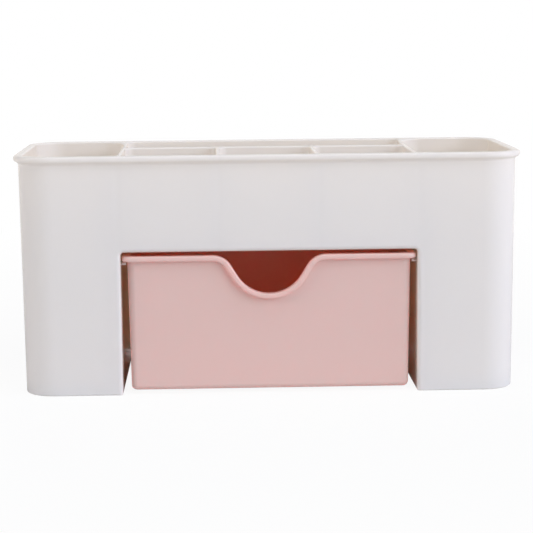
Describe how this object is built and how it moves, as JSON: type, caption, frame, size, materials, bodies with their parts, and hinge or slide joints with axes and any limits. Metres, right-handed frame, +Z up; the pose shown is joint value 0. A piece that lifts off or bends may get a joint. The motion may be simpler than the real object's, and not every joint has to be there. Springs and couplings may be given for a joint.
{
  "type": "makeup organizer",
  "caption": "Desktop makeup organizer: a moulded open box with deep end wells, shallow divided cells and a rear slot over a pull-out drawer with a finger notch.",
  "frame": {"origin": "middle of the outline of the rim, on the table under the feet", "axes": "+X to the right along the width, +Y from the drawer front to the back, +Z up"},
  "size_m": [0.22, 0.097, 0.104],
  "materials": {
    "white_plastic": "satin moulded polypropylene, warm white",
    "pink_plastic": "satin moulded polypropylene, dusty pink"
  },
  "bodies": {
    "body": {"body": "white_plastic"},
    "drawer": {"drawer": "pink_plastic"}
  },
  "joints": [
    {"name": "drawer_slide", "type": "slide", "parent": "body", "child": "drawer", "axis": [0, -1, 0], "range_m": [0, 0.07]}
  ]
}
